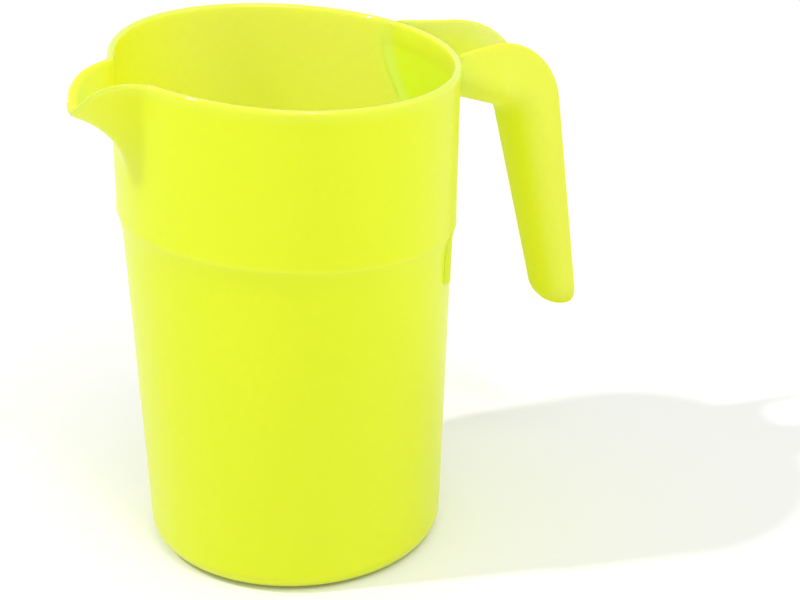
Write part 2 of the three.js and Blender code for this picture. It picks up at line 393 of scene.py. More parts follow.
@dataclass(frozen=True)
class PlasticFinish:
    """Satin translucent plastic in a fluorescent yellow-green, faintly cloudy, with a polished rim.

    The tint runs between a painted-shade and a painted-light tint: in red and green by the painted
    glow, in blue by the painted light through. The specular level follows the points' gloss value,
    so that reflections under the handle are painted darker and the rim's highlight is painted
    stronger.
    """

    name: str = "pitcher_plastic"
    slot: str = "pitcher_plastic"
    # Tints of painted shade and painted light; the cloud tint is the plastic's own random
    # cloudiness.
    painted_shade_tint: Colour = (0.70, 0.785, 0.002)
    painted_light_tint: Colour = (0.86, 0.995, 0.30)
    cloud_tint: Colour = (0.76, 0.90, 0.03)
    cloud_share: float = 0.16
    cloud_scale: float = 28.0
    cloud_detail: float = 3.0
    grain_scale: float = 1400.0
    grain_detail: float = 2.0
    grain_depth: float = 0.00002
    grain_strength: float = 0.12
    matt_roughness_low: float = 0.52
    matt_roughness_high: float = 0.64
    polished_roughness: float = 0.07
    refraction: float = 1.39
    spread_depth: float = 0.012
    glow_spread: Colour = (1.0, 1.0, 0.2)

    def make(self) -> bpy.types.Material:
        """Makes the material, whose tint, gloss and grain come from its nodes.

        Returns:
            The material.
        """
        material = bpy.data.materials.new(self.name)
        board = NodeBoard(material)
        shader = board.nodes["Principled BSDF"]
        shader.inputs["Metallic"].default_value = 0.0
        shader.inputs["IOR"].default_value = self.refraction
        shader.inputs["Subsurface Weight"].default_value = 1.0
        shader.inputs["Subsurface Radius"].default_value = self.glow_spread
        cloud = board.noise(self.cloud_scale, self.cloud_detail)
        glow, through = board.attribute(GLOW), board.attribute(LIGHT_THROUGH)
        ranges = zip((glow, glow, through), self.painted_shade_tint, self.painted_light_tint)
        tint = board.combine([board.ranged(share, low, high) for share, low, high in ranges])
        clouded = board.mix(board.ranged(cloud, 0.0, self.cloud_share), tint, self.cloud_tint)
        spread = board.ranged(board.attribute(SPREAD), 0.0, self.spread_depth)
        polish_and_sheen = board.attribute(POLISH_AND_SHEEN)
        matt = board.ranged(cloud, self.matt_roughness_low, self.matt_roughness_high)
        gloss = board.ranged(polish_and_sheen, matt, self.polished_roughness)
        bump = board.nodes.new("ShaderNodeBump")
        bump.inputs["Strength"].default_value = self.grain_strength
        bump.inputs["Distance"].default_value = self.grain_depth
        board.links.new(board.noise(self.grain_scale, self.grain_detail), bump.inputs["Height"])
        board.links.new(clouded, shader.inputs["Base Color"])
        board.links.new(spread, shader.inputs["Subsurface Scale"])
        board.links.new(gloss, shader.inputs["Roughness"])
        # The specular level paints darker reflections under the handle and a stronger highlight on
        # the rim.
        board.links.new(polish_and_sheen, shader.inputs["Specular IOR Level"])
        board.links.new(bump.outputs["Normal"], shader.inputs["Normal"])
        return material


@dataclass
class Spout:
    """The pouring spout, as a pull and a fall of the rim at an angle from its middle."""

    reach: float = 19.3
    spread: float = 9.9
    flatness: float = 2.65
    droop: float = 12.5
    droop_spread: float = 5.9
    depth: float = 41.8
    curve: float = 3.0
    shoulder_pinch: float = 2.0
    shoulder_angle: float = 32.6
    shoulder_spread: float = 28.8

    def pull(self, degrees: float) -> float:
        """How far the rim moves out."""
        return self.reach * hump(degrees / self.spread, self.flatness)

    def pinch(self, degrees: float) -> float:
        """How far the rim beside the spout is drawn in."""
        offset = abs(degrees) - self.shoulder_angle
        return self.shoulder_pinch * hump(offset / self.shoulder_spread)

    def fall(self, degrees: float) -> float:
        """How far the rim falls."""
        return self.droop * hump(degrees / self.droop_spread)


@dataclass
class Moulding:
    """A region of the moulding that one closed skin shows."""

    material: bpy.types.Material
    slot: str

    def settle(self, skin: ClosedSkin, name: str, nodes: Sequence[str]) -> bpy.types.Object:
        """Makes the piece, dresses it and puts it on the body in place of its solids.

        Args:
            skin: The piece's closed skin.
            name: The piece's name.
            nodes: The solids that it stands for.

        Returns:
            The finished piece.
        """
        piece = skin.to_object(name)
        piece.data.materials.append(self.material)
        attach(piece, "root")
        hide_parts(*nodes)
        LOG.info("%s: %d faces, for %s", name, len(piece.data.polygons), ", ".join(nodes))
        return piece


@dataclass
class PitcherBody(Moulding):
    """The round body from its underside to the rim, with the ledge and the spout."""

    spout: Spout = field(default_factory=Spout)
    height: float = 184.0
    rim_radius: float = 61.2
    rim_slope: float = math.tan(math.radians(4.6))
    lip_height: float = 3.6
    lip_proud: float = 0.4
    upper_wall_height: float = 57.7
    upper_wall_taper: float = 1.6
    ledge_drop: float = 7.0
    ledge_step: float = 1.6
    ledge_crest_softness: float = 1.0
    ledge_foot_softness: float = 3.0
    bead_proud: float = 0.22
    bead_height: float = 1.1
    lower_wall_taper: float = 4.7
    heel_rounding: float = 8.2
    wall: float = 2.2
    floor: float = 2.6
    recess_radius: float = 38.0
    recess_depth: float = 0.8
    recess_slant: float = 1.6
    gate_radius: float = 2.4
    gate_height: float = 0.5
    # The root patch is painted shade inside the wall, behind the handle's root and below it where
    # the handle shades the wall; widened, its outline also marks where the handle covers the wall.
    root_patch_half_width: float = 21.7
    root_patch_depth: float = 33.0
    root_patch_softness: float = 2.2
    root_shade_strength: float = 0.74
    root_patch_rim_share: float = 0.6
    root_patch_rim_depth: float = 9.0
    cover_margin: float = 7.0
    # Painted light and shade: glow, light through the wall and floor, shade by the spout, and a
    # stronger painted highlight on the rim's crest.
    outer_glow: float = 0.42
    crest_polish_and_highlight: float = 1.4
    floor_through: float = 0.08
    inner_through: float = 0.5
    crest_through: float = 0.1
    rim_through: float = 0.16
    rim_fade: float = 6.0
    ledge_through: float = 0.085
    ledge_line_height: float = 1.2
    lower_through: float = 0.012
    spout_through: float = 0.28
    spout_fade: float = 2.5
    spout_shade: float = 0.87
    spout_clear: float = 0.4
    spout_shade_start: float = 30.0
    spout_shade_end: float = 95.0
    fine_reach: float = 32.0
    ledge_margin: float = 5.0
    handle_columns: int = 96
    side_columns: int = 48
    spout_columns: int = 72
    recess_rows: int = 4
    heel_rows: int = 12
    lower_rows: int = 14
    ledge_rows: int = 60
    upper_rows: int = 4
    spout_rows: int = 36
    crest_rows: int = 14

    def __post_init__(self) -> None:
        """Works out the heights and radii that the main sizes give."""
        self.ledge_top = self.height - self.upper_wall_height
        self.ledge_bottom = self.ledge_top - self.ledge_drop
        self.ledge_radius = self.rim_radius - self.upper_wall_taper
        self.neck_radius = self.ledge_radius - self.ledge_step
        self.heel_radius = self.neck_radius - self.lower_wall_taper
        self.floor_radius = self.heel_radius - self.heel_rounding
        self.spout_bottom = self.height - self.spout.depth
        self.crest_radius = (self.wall + self.lip_proud) / 2
        self.lower_rate = self.lower_wall_taper / (self.ledge_bottom - self.heel_rounding)

    def lower_radius(self, height: float) -> float:
        """Outer radius of the lower wall's cone, carried on past the ledge."""
        return self.heel_radius + self.lower_rate * (height - self.heel_rounding)

    def radius(self, height: float) -> float:
        """Outer radius of the plain wall, with both corners of the ledge rounded.

        Args:
            height: Height on the axis.

        Returns:
            The radius.
        """
        lower, ledge = self.lower_rate, self.ledge_step / self.ledge_drop
        upper = self.upper_wall_taper / self.upper_wall_height
        at_foot = soft_ramp(height - self.ledge_bottom, self.ledge_foot_softness)
        at_crest = soft_ramp(height - self.ledge_top, self.ledge_crest_softness)
        bead = self.bead_proud * hump((height - self.ledge_top) / self.bead_height)
        wall = self.lower_radius(height) + (ledge - lower) * at_foot + (upper - ledge) * at_crest
        return wall + bead

    def slope(self, height: float) -> float:
        """Fall of a level along X: none at the heel, and the rim's own from the ledge up."""
        return self.rim_slope * share_between(self.heel_rounding, self.ledge_bottom, height)

    def wall_place(self, theta: float, height: float, inwards: float) -> Vector:
        """A place in the wall, with the spout's pull on it.

        Args:
            theta: Angle round the axis.
            height: Height on the axis.
            inwards: Distance inwards from the outer face.

        Returns:
            The place.
        """
        degrees = off_spout(theta)
        pull, fall = self.spout.pull(degrees), self.spout.fall(degrees)
        rise = share_between(self.spout_bottom, self.height, height)
        pinch = self.spout.pinch(degrees) * share_between(self.ledge_top, self.height, height)
        steepness = self.spout.curve * pull * rise ** (self.spout.curve - 1)
        tilt = math.atan2(steepness, self.spout.depth - fall)
        radius = self.radius(height) + pull * rise**self.spout.curve - pinch
        place = round_point(theta, radius - inwards * math.cos(tilt), height)
        place.z += inwards * math.sin(tilt) - fall * rise - self.slope(height) * place.x
        return place

    def clearance(self, place: Vector) -> float:
        """How far a place stands clear of the plain wall's outer face.

        Args:
            place: The place.

        Returns:
            The clearance, which is negative inside the wall.
        """
        height = place.z
        for _ in range(LEVEL_ROUNDS):
            height = place.z + self.slope(height) * place.x
        return math.hypot(place.x, place.y) - self.radius(height)

    def root_and_shade(self, theta: float, height: float, margin: float = 0.0) -> float:
        """How much of the handle's root, and of the shade painted below it, stands behind the wall.

        Args:
            theta: Angle round the axis.
            height: Height on the axis.
            margin: How much the root's outline is widened.

        Returns:
            The share, which is 1 within the patch and 0 well outside it.
        """
        if math.cos(theta) < 0:
            return 0.0
        down = self.height - height
        curve = math.sqrt(max(0.0, 1 - (down / (self.root_patch_depth + margin)) ** 2))
        half = (self.root_patch_half_width + margin) * curve
        across = abs(self.rim_radius * math.sin(theta))
        side = smooth_step(-self.root_patch_softness, self.root_patch_softness, half - across)
        below_rim = share_between(0, self.root_patch_rim_depth, down)
        return side * blend(self.root_patch_rim_share, 1.0, below_rim)

    def spout_share(self, theta: float, height: float) -> float:
        """How much a place belongs to the spout, from 0 on the plain wall to 1 at its tip."""
        pull = self.spout.pull(off_spout(theta)) / self.spout.reach
        return pull * share_between(self.spout_bottom, self.height, height)

    def light_through(self, theta: float, height: float, skin: Skin) -> float:
        """How much white light is painted as coming through the wall, less by the spout and behind
        the handle.

        Args:
            theta: Angle round the axis.
            height: Height on the axis.
            skin: The face that is looked at.

        Returns:
            The share.
        """
        if skin is Skin.INNER:
            # Inside: shade painted by the spout and behind the handle's root.
            aside = abs(off_spout(theta))
            shade = 1 - smooth_step(self.spout_shade_start, self.spout_shade_end, aside)
            shade *= 1 - self.spout_clear * self.spout_share(theta, height) ** self.spout_fade
            root_shaded = self.root_shade_strength * self.root_and_shade(theta, height)
            return self.inner_through * (1 - max(self.spout_shade * shade, root_shaded))
        # Outside: painted light in a pale band under the rim, on the spout, in a pale line at the
        # ledge's crest and a little on the lower wall.
        spout = self.spout_through * self.spout_share(theta, height) ** self.spout_fade
        rim = self.rim_through * smooth_step(self.height - self.rim_fade, self.height, height)
        ledge = self.ledge_through * hump((height - self.ledge_top) / self.ledge_line_height)
        low = self.lower_through * (1 - smooth_step(self.heel_rounding, self.ledge_bottom, height))
        return max(spout, rim) + ledge + low

    def glow(self, inside: float) -> float:
        """The plastic's painted glow, which also sets how far light spreads in it, from the outer
        face at 0 to the inner face at 1.
        """
        return blend(self.outer_glow, 1.0, inside)

    def wall_point(self, theta: float, height: float, inwards: float, skin: Skin) -> SkinPoint:
        """A point of the wall's outer or inner face.

        Args:
            theta: Angle round the axis.
            height: Height on the axis.
            inwards: Distance inwards from the outer face.
            skin: The face that the point is on.

        Returns:
            The point.
        """
        place = self.wall_place(theta, height, inwards)
        # The inner face is painted brighter than the outer, and less so inside the spout.
        glow = self.glow(skin.value) * (1 - skin.value * self.spout_share(theta, height))
        cover = self.root_and_shade(theta, height, self.cover_margin)
        return SkinPoint(place, self.light_through(theta, height, skin), glow, cover=cover)

    def crest_point(self, theta: float, turn: float) -> SkinPoint:
        """A point of the rim's rounded crest.

        Args:
            theta: Angle round the axis.
            turn: Angle round the crest, from 0 at its outer side to half a turn at its inner side.

        Returns:
            The point.
        """
        top, inside = math.sin(turn), (1 - math.cos(turn)) / 2
        inwards = self.wall - self.crest_radius * (1 + math.cos(turn))
        height = self.height - self.crest_radius * (1 - top)
        outer, inner = [self.light_through(theta, height, skin) for skin in Skin]
        # The crest's top gets painted light through, less painted glow and a stronger painted
        # highlight.
        through = blend(blend(outer, inner, inside), self.crest_through, top)
        polish_and_sheen = blend(SATIN_POLISH, self.crest_polish_and_highlight, top)
        place = self.wall_place(theta, height, inwards)
        return SkinPoint(place, through, self.glow(inside) * (1 - top), polish_and_sheen)

    def heel_point(self, theta: float, turn: float, skin: Skin) -> SkinPoint:
        """A point of the heel, which turns the floor up into the wall.

        Args:
            theta: Angle round the axis.
            turn: Angle round the heel, from 0 at the floor to a quarter turn at the wall.
            skin: The face that the point is on.

        Returns:
            The point.
        """
        wall, floor = (self.wall, self.floor) if skin is Skin.INNER else (0.0, 0.0)
        up = math.sin(turn)
        radius = self.floor_radius + (self.heel_rounding - wall) * up
        z = self.heel_rounding - (self.heel_rounding - floor) * math.cos(turn)
        through = blend(self.floor_through, self.light_through(theta, self.heel_rounding, skin), up)
        place = round_point(theta, radius, z)
        return SkinPoint(place, through, self.glow(skin.value), cover=1 - up)

    def flat_point(self, theta: float, radius: float, z: float) -> SkinPoint:
        """A point of the floor's upper or under side."""
        place = round_point(theta, radius, z)
        return SkinPoint(place, self.floor_through, self.outer_glow, cover=1.0)

    def columns(self) -> list[float]:
        """Spaces out the columns, which are narrow across the spout and the handle's root.

        Returns:
            The angles of the columns round the axis.
        """
        reach = math.radians(self.fine_reach)
        handle = spaced(-reach, reach, self.handle_columns)[:-1]
        right = spaced(reach, math.pi - reach, self.side_columns)[:-1]
        spout = spaced(math.pi - reach, math.pi + reach, self.spout_columns)[:-1]
        left = spaced(math.pi + reach, math.tau - reach, self.side_columns)[:-1]
        return handle + right + spout + left

    def wall_heights(self) -> list[float]:
        """Spaces out the wall's rows, close together at the ledge's corners and up the spout.

        Returns:
            The heights of the rows on the axis.
        """
        ledge_start = self.ledge_bottom - self.ledge_margin
        ledge_end = self.ledge_top + self.ledge_margin
        lower = spaced(self.heel_rounding, ledge_start, self.lower_rows)[:-1]
        ledge = spaced(ledge_start, ledge_end, self.ledge_rows)[:-1]
        upper = spaced(ledge_end, self.spout_bottom, self.upper_rows)[:-1]
        spout = spaced(self.spout_bottom, self.height - self.crest_radius, self.spout_rows)[:-1]
        return lower + ledge + upper + spout

    def underside_rows(self) -> list[RowMaker]:
        """Lays out the underside, from the gate mark in its middle to the heel.

        Returns:
            The makers of its rows.
        """
        depth, edge = self.recess_depth, self.recess_radius
        spots = [
            (self.gate_radius, depth - self.gate_height),
            (self.gate_radius + self.gate_height, depth),
            (edge / 2, depth),
        ]
        for share in spaced(0, 1, self.recess_rows):
            spots.append((edge + self.recess_slant * share, depth * (1 - smooth_step(0, 1, share))))
        return [partial(self.flat_point, radius=radius, z=z) for radius, z in spots]

    def rows(self) -> list[RowMaker]:
        """Lays out the skin: the underside, up the outside, over the rim and down the inside.

        Returns:
            The makers of its rows.
        """
        turns = spaced(0, QUARTER_TURN, self.heel_rows)[:-1]
        lip_bottom = self.height - 2 * self.lip_height
        rows = self.underside_rows()
        rows += [partial(self.heel_point, turn=turn, skin=Skin.OUTER) for turn in turns]
        for height in self.wall_heights():
            proud = self.lip_proud * smooth_step(lip_bottom, self.height, height)
            rows.append(partial(self.wall_point, height=height, inwards=-proud, skin=Skin.OUTER))
        over_rim = spaced(0, math.pi, self.crest_rows)
        rows += [partial(self.crest_point, turn=turn) for turn in over_rim]
        for height in reversed(self.wall_heights()):
            rows.append(partial(self.wall_point, height=height, inwards=self.wall, skin=Skin.INNER))
        rows += [partial(self.heel_point, turn=turn, skin=Skin.INNER) for turn in reversed(turns)]
        rows.append(partial(self.flat_point, radius=self.floor_radius / 2, z=self.floor))
        return rows

    def build(self) -> bpy.types.Object:
        """Builds the body's skin.

        Returns:
            The finished piece.
        """
        skin = ClosedSkin()
        columns = self.columns()
        rows = [skin.add_row([point_at(theta) for theta in columns]) for point_at in self.rows()]
        skin.bridge_all(rows)
        skin.cap(rows[0], self.flat_point(0, 0, self.recess_depth - self.gate_height))
        skin.cap(rows[-1], self.flat_point(0, 0, self.floor))
        round_nodes = ("base_floor", "heel_ring", "lower_wall", "stacking_ledge", "upper_wall")
        return self.settle(skin, "body_shell", (*round_nodes, "rim_lip", "pour_spout"))


class RoundedCorner:
    """An arc in the XZ plane that rounds the corner between two directions."""

    def __init__(self, corner: Vector, way_in: Vector, way_out: Vector, radius: float) -> None:
        """Places the arc.

        Args:
            corner: Where the two lines meet.
            way_in: Direction of the line that comes in.
            way_out: Direction of the line that goes out, which turns clockwise.
            radius: Radius of the arc.
        """
        self.angle_in = math.atan2(way_in.y, way_in.x)
        self.turn = self.angle_in - math.atan2(way_out.y, way_out.x)
        self.radius = radius
        start = corner - way_in * radius * math.tan(self.turn / 2)
        self.centre = start + Vector((way_in.y, -way_in.x)) * radius
        self.start = self.at(0)
        self.end = self.at(1)

    def at(self, share: float) -> Vector:
        """The point at a share of the way round the arc."""
        angle = self.angle_in + QUARTER_TURN - self.turn * share
        return self.centre + Vector((math.cos(angle), math.sin(angle))) * self.radius


@dataclass
class Station:
    """A section across one skin of the handle: its underside, its edges and half its width."""

    face: Vector
    edge: Vector
    half: float
    skin: Skin

    def rise_way(self) -> Vector:
        """Direction from the underside to the edges."""
        return (self.edge - self.face).normalized()


@dataclass
class HookHandle(Moulding):
    """The open-channel handle, from its flared root on the wall to its closed free tip."""

    body: PitcherBody
    standoff: float = 41.0
    elbow_radius: float = 30.6
    edge_lean: float = 7.7
    arch_standoff: float = 26.3
    arch_depth: float = 28.8
    arch_fall: float = 22.2
    arch_radius: float = 8.6
    face_lean: float = 12.2
    grip_drop: float = 75.0
    tip_length: float = 11.3
    root_half_width: float = 21.3
    flare_length: float = 33.0
    elbow_half_width: float = 14.6
    tip_half_width: float = 10.6
    roundness: float = 0.9
    bottom_share: float = 0.8
    wall: float = 2.2
    lip_wall: float = 1.5
    lip_rounding: float = 0.6
    root_fillet: float = 2.2
    fillet_fade: tuple[float, float] = (0.2, 0.8)
    root_embedding: float = 0.9
    # Painted light and shade: glow and light through the handle, painted darker on the underside,
    # near the root, at the tip's end and deep in the channel, with darker painted reflections
    # underneath.
    glow: float = 0.55
    cover_reach: float = 12.0
    side_through: float = 0.24
    under_through: float = 0.13
    inner_through: float = 0.9
    inner_deep_through: float = 0.5
    inner_fade: float = 14.0
    root_light_share: float = 0.6
    root_shade_reach: float = 40.0
    lip_through: float = 0.05
    tip_through: float = 0.0
    under_matt_and_shade: float = 0.1
    side_ramp_start: float = 0.55
    side_ramp_end: float = 0.98
    tip_shade_start: float = 4.0
    tip_shade_end: float = 7.0
    bridge_steps: int = 90
    rail_steps: int = 26
    rail_crowding: float = 1.7
    elbow_steps: int = 30
    grip_steps: int = 16
    tip_steps: int = 18
    bottom_steps: int = 28
    side_steps: int = 5
    lip_steps: int = 4

    def __post_init__(self) -> None:
        """Lays out the lines of the edges and of the underside, and the ends of each."""
        body = self.body
        self.edge_way = way_down(90 - self.edge_lean)
        face_way = way_down(90 - self.face_lean)
        arch_way = way_down(self.arch_fall)
        bridge_way = Vector((1, -body.rim_slope)).normalized()
        arch_top = self.rim_plane(body.rim_radius + self.arch_standoff)
        arch_corner = arch_top - Vector((0, self.arch_depth))
        edge_corner = self.rim_plane(body.rim_radius + self.standoff)
        self.edge_arc = RoundedCorner(edge_corner, bridge_way, self.edge_way, self.elbow_radius)
        self.arch_arc = RoundedCorner(arch_corner, arch_way, face_way, self.arch_radius)
        root_x = body.rim_radius - self.elbow_half_width
        self.root_edge = self.rim_plane(root_x)
        root_run = (root_x - self.arch_arc.start.x) / arch_way.x
        self.root_face = self.arch_arc.start + arch_way * root_run
        tip_top = arch_corner.y - self.grip_drop
        edge_run = (tip_top - self.edge_arc.end.y) / self.edge_way.y
        face_run = (tip_top - self.arch_arc.end.y) / face_way.y
        self.edge_end = self.edge_arc.end + self.edge_way * edge_run
        self.face_end = self.arch_arc.end + face_way * face_run

    def rim_plane(self, x: float) -> Vector:
        """The point of the rim's plane at a distance along X."""
        return Vector((x, self.body.height - self.body.rim_slope * x))

    def half_width(self, edge: Vector) -> float:
        """Half the width at the edges: flared at the root, and tapering from the elbow to the tip.

        Args:
            edge: The point of the edges in the XZ plane.

        Returns:
            Half the width.
        """
        beyond = edge.x > self.edge_arc.start.x
        taper = share_between(self.edge_arc.start.y, self.edge_end.y, edge.y) if beyond else 0.0
        flare = max(0.0, 1 - (edge.x - self.body.rim_radius) / self.flare_length) ** 2
        plain = blend(self.elbow_half_width, self.tip_half_width, taper)
        return plain + (self.root_half_width - self.elbow_half_width) * flare

    def plain_pair(self, face: Vector, edge: Vector) -> tuple[Station, Station]:
        """The stations of the two skins at one place along the handle.

        Args:
            face: The point of the underside in the XZ plane.
            edge: The point of the edges in the XZ plane.

        Returns:
            The outer and the inner station.
        """
        outer = Station(face, edge, self.half_width(edge), Skin.OUTER)
        inner_face = face + outer.rise_way() * self.wall
        return outer, Station(inner_face, edge, outer.half - self.wall, Skin.INNER)

    def tip_pair(self, turn: float) -> tuple[Station, Station]:
        """The stations of the two skins in the tip, which closes like the bowl of a spoon.

        Args:
            turn: Angle round the bowl, from 0 at the grip to a quarter turn at its end.

        Returns:
            The outer and the inner station.
        """
        rise_way = (self.edge_end - self.face_end).normalized()
        depth = (self.edge_end - self.face_end).length
        pair = []
        for skin, taken in ((Skin.OUTER, 0.0), (Skin.INNER, self.wall)):
            edge = self.edge_end + self.edge_way * (self.tip_length - taken) * math.sin(turn)
            drawn = blend(self.lip_rounding, depth - taken, math.cos(turn))
            half = (self.tip_half_width - taken) * math.cos(turn)
            pair.append(Station(edge - rise_way * drawn, edge, half, skin))
        return pair[0], pair[1]

    def cover(self, place: Vector) -> float:
        """How much the wall covers a place, from 1 at the wall to 0."""
        return 1 - smooth_step(0, self.cover_reach, self.body.clearance(place))

    def off_tip(self, flat: Vector) -> float:
        """How far a place in the XZ plane is from the shaded end of the tip, from 0 to 1."""
        above_tip = flat.y - (self.edge_end + self.edge_way * self.tip_length).y
        return smooth_step(self.tip_shade_start, self.tip_shade_end, above_tip)

    def side_ramp(self, side_share: float) -> float:
        """How much a place belongs to the handle's sides, from 0 on its underside to 1."""
        return smooth_step(self.side_ramp_start, self.side_ramp_end, side_share)

    def light_through(self, flat: Vector, side_share: float, below: float, skin: Skin) -> float:
        """How much white light is painted as coming through the handle.

        Args:
            flat: The place in the XZ plane.
            side_share: How far the place is from the middle line, from 0 to 1 at the side.
            below: How far the place is below the edges.
            skin: The face that is looked at.

        Returns:
            The share, which is painted low, as shade, on the underside, at both ends and deep in
            the channel.
        """
        if skin is Skin.INNER:
            deep = smooth_step(0, self.inner_fade, below)
            return blend(self.inner_through, self.inner_deep_through, deep)
        side = blend(self.under_through, self.side_through, self.side_ramp(side_share))
        off_root = smooth_step(0, self.root_shade_reach, flat.x - self.body.rim_radius)
        lit = side * blend(self.root_light_share, 1.0, off_root)
        return blend(self.tip_through, lit, self.off_tip(flat))

    def channel(self, station: Station) -> list[SkinPoint]:
        """One skin's line across the handle: straight sides and a rounded bottom, below the lips.

        Args:
            station: The section.

        Returns:
            Points from the left lip, round the bottom, to the right lip.
        """
        rise_way = station.rise_way()
        depth = (station.edge - station.face).length
        bottom = min(self.roundness * station.half, self.bottom_share * depth)
        turns = spaced(0, math.pi, self.bottom_steps)
        line = [(-math.cos(turn), bottom * (1 - math.sin(turn))) for turn in turns]
        rises = spaced(depth - self.lip_rounding, bottom, self.side_steps)[:-1]
        left = [(-1.0, rise) for rise in rises]
        right = [(1.0, rise) for rise in reversed(rises)]
        draft = (self.wall - self.lip_wall) / depth if station.skin is Skin.INNER else 0.0
        points = []
        for across, rise in left + line + right:
            flat = station.face + rise_way * rise
            half = station.half + draft * rise if station.half else 0.0
            through = self.light_through(flat, abs(across), depth - rise, station.skin)
            # The underside and the tip's end are rougher, with their reflections painted darker.
            satin = self.side_ramp(abs(across)) * self.off_tip(flat)
            polish_and_sheen = blend(self.under_matt_and_shade, SATIN_POLISH, satin)
            place = Vector((flat.x, across * half, flat.y))
            points.append(SkinPoint(place, through, self.glow, polish_and_sheen, self.cover(place)))
        return points

    def lip_point(self, place: Vector) -> SkinPoint:
        """A point of a lip, painted with little light through."""
        return SkinPoint(place, self.lip_through, self.glow, cover=self.cover(place))

    def lip(self, start: SkinPoint, end: SkinPoint, rise_way: Vector) -> list[SkinPoint]:
        """The lip between the two skins, flat on top with two rounded edges.

        Args:
            start: Where the lip leaves one skin.
            end: Where it comes down on the other skin.
            rise_way: Direction of its top in the XZ plane.

        Returns:
            The points between the two ends.
        """
        across = end.place - start.place
        rounding = min(self.lip_rounding, across.length / 2)
        across = across.normalized() * rounding
        up = Vector((rise_way.x, 0, rise_way.y)) * self.lip_rounding
        turns = spaced(0, QUARTER_TURN, self.lip_steps)[1:]
        places = []
        for turn in turns:
            places.append(start.place + across * (1 - math.cos(turn)) + up * math.sin(turn))
        for turn in reversed(turns):
            places.append(end.place - across * (1 - math.cos(turn)) + up * math.sin(turn))
        return [self.lip_point(place) for place in places]

    def loop(self, pair: tuple[Station, Station]) -> list[SkinPoint]:
        """The whole line round the section: outer skin, right lip, inner skin, left lip.

        Args:
            pair: The outer and the inner station.

        Returns:
            The points, which run round and meet themselves.
        """
        outer, inner = self.channel(pair[0]), self.channel(pair[1])[::-1]
        rise_way = pair[0].rise_way()
        right = self.lip(outer[-1], inner[0], rise_way)
        left = self.lip(inner[-1], outer[0], rise_way)
        return outer + right + inner + left

    def plain_loop(self, face: Vector, edge: Vector) -> list[SkinPoint]:
        """The whole line round the section at one place along the handle."""
        return self.loop(self.plain_pair(face, edge))

    def bridge_loops(self) -> list[list[SkinPoint]]:
        """The loops of the bridge, from inside the wall, with a fillet where it leaves the wall.

        Returns:
            The loops, whose points start on the wall's curve and end in line at the elbow.
        """
        table = []
        for share in spaced(0, 1, self.bridge_steps):
            face = self.root_face.lerp(self.arch_arc.start, share)
            table.append(self.plain_loop(face, self.root_edge.lerp(self.edge_arc.start, share)))
        rails = [self.rail([loop[i] for loop in table]) for i in range(len(table[0]))]
        loops = [list(points) for points in zip(*rails)]
        return [self.filleted(loop, following) for loop, following in zip(loops, loops[1:])]

    def rail(self, points: list[SkinPoint]) -> list[SkinPoint]:
        """Cuts one line along the bridge where it enters the wall and spaces it out again.

        Args:
            points: The line's points, from inside the pitcher outwards.

        Returns:
            Points from inside the wall to the elbow, with the last one twice.
        """
        depths = [self.body.clearance(point.place) + self.root_embedding for point in points]
        first = max(i for i, depth in enumerate(depths[:-1]) if depth <= 0)
        start = first + depths[first] / (depths[first] - depths[first + 1])
        last = len(points) - 1
        shares = [share**self.rail_crowding for share in spaced(0, 1, self.rail_steps)]
        spots = [blend(start, last, share) for share in shares] + [float(last)]
        lows = [min(int(spot), last - 1) for spot in spots]
        return [points[low].towards(points[low + 1], spot - low) for low, spot in zip(lows, spots)]

    def filleted(self, loop: list[SkinPoint], following: list[SkinPoint]) -> list[SkinPoint]:
        """Thickens a loop where it is close to the wall, apart from the tops of its lips.

        Args:
            loop: The loop's points.
            following: The next loop along the handle.

        Returns:
            The points, moved off the plastic's middle by the fillet's curve.
        """
        moved = []
        for i, point in enumerate(loop):
            across = loop[(i + 1) % len(loop)].place - loop[i - 1].place
            normal = (following[i].place - point.place).cross(across)
            normal.x = 0.0
            normal.normalize()
            gap = share_between(0, self.root_fillet, self.body.clearance(point.place)) - 1
            swell = self.root_fillet * (1 - math.sqrt(1 - gap * gap))
            level = share_between(*self.fillet_fade, 1 - normal.z) if normal.length else 0.0
            moved.append(replace(point, place=point.place + normal * swell * level))
        return moved

    def build(self) -> bpy.types.Object:
        """Builds the handle's skin.

        Returns:
            The finished piece.
        """
        loops = self.bridge_loops()
        for share in spaced(0, 1, self.elbow_steps):
            loops.append(self.plain_loop(self.arch_arc.at(share), self.edge_arc.at(share)))
        for share in spaced(0, 1, self.grip_steps)[1:]:
            face = self.arch_arc.end.lerp(self.face_end, share)
            loops.append(self.plain_loop(face, self.edge_arc.end.lerp(self.edge_end, share)))
        for turn in spaced(0, QUARTER_TURN, self.tip_steps)[1:]:
            loops.append(self.loop(self.tip_pair(turn)))
        skin = ClosedSkin()
        rows = [skin.add_row(loop) for loop in loops]
        skin.bridge_all(rows)
        self.close_root(skin, rows[0])
        nodes = ("handle_bridge", "handle_elbow", "handle_grip", "handle_tip")
        return self.settle(skin, "hook_handle", nodes)

    def close_root(self, skin: ClosedSkin, row: Row) -> None:
        """Closes the channel's end inside the wall, between the outer and the inner skin.

        Args:
            skin: The handle's skin.
            row: The first loop's numbers.
        """
        count = len(self.channel(self.plain_pair(self.root_face, self.root_edge)[0]))
        lip = (len(row) - 2 * count) // 2
        outer, inner = row[:count], row[count + lip : 2 * count + lip][::-1]
        skin.bridge(outer, inner, closed=False)
        skin.faces.append((outer[-1], *row[count : count + lip], inner[-1]))
        skin.faces.append((inner[0], *row[2 * count + lip :], outer[0]))


